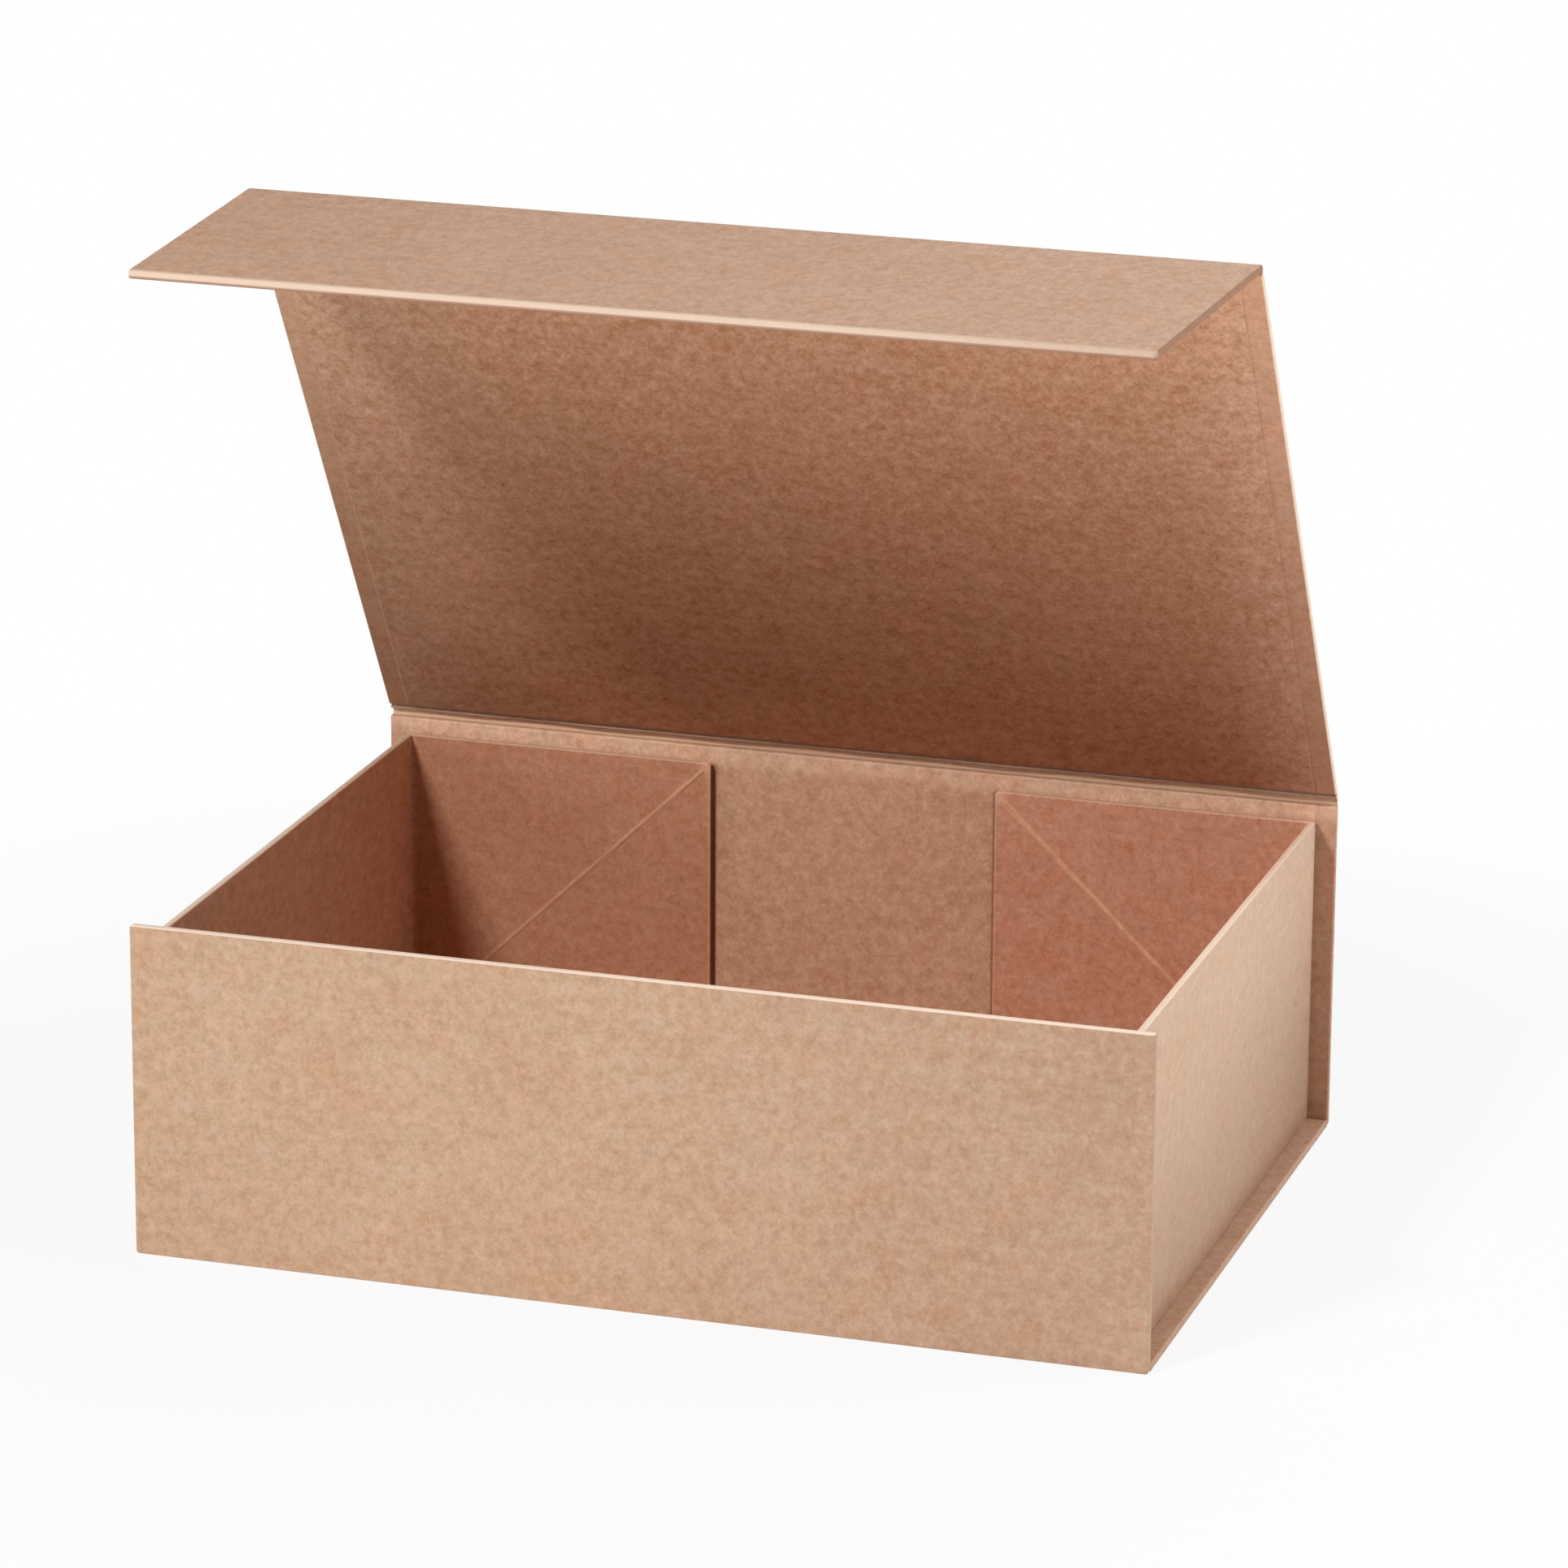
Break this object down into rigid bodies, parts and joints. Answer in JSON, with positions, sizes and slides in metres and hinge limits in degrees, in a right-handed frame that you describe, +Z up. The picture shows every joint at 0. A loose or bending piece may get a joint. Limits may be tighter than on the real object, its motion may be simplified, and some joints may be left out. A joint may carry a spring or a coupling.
{
  "type": "magnetic gift box",
  "caption": "Flat-pack rigid gift box in brown kraft paper, standing open: hinged lid with a magnetic closing flap, side walls with creased corner wings.",
  "frame": {"origin": "middle of the base panel's underside, on the table", "axes": "+X along the width towards the box's right side as seen from the front, +Y from the front to the hinged back, +Z up"},
  "size_m": [0.33, 0.2365, 0.3201],
  "materials": {
    "kraft_board": "matte brown kraft paper over greyboard",
    "kraft_paper": "matte brown kraft paper",
    "magnet_metal": "plain plated discs",
    "tape": "double-sided tape"
  },
  "bodies": {
    "tray": {"front_panel": "kraft_board", "base_panel": "kraft_board", "back_panel": "kraft_board", "left_side_wall": "kraft_board", "right_side_wall": "kraft_board", "tray_liner": "kraft_paper", "front_keeper_left": "magnet_metal", "front_keeper_right": "magnet_metal", "wing_tape_front_left": "tape", "wing_tape_front_right": "tape", "wing_tape_back_left": "tape", "wing_tape_back_right": "tape"},
    "lid": {"lid_panel": "kraft_board", "lid_liner": "kraft_paper", "lid_hinge_strip": "kraft_paper"},
    "flap": {"closing_flap": "kraft_board", "flap_liner": "kraft_paper", "flap_magnet_left": "magnet_metal", "flap_magnet_right": "magnet_metal", "flap_hinge_strip": "kraft_paper"}
  },
  "joints": [
    {"name": "lid_hinge", "type": "hinge", "parent": "tray", "child": "lid", "pos_m": [0, 0.11775, 0.1141], "axis": [-1, 0, 0], "range_deg": [-59.2, 139.3], "deforming": ["lid_hinge_strip"]},
    {"name": "flap_hinge", "type": "hinge", "parent": "lid", "child": "flap", "pos_m": [0, -0.00733, 0.31992], "axis": [-1, 0, 0], "range_deg": [-30.2, 59.7], "deforming": ["flap_hinge_strip"]}
  ]
}
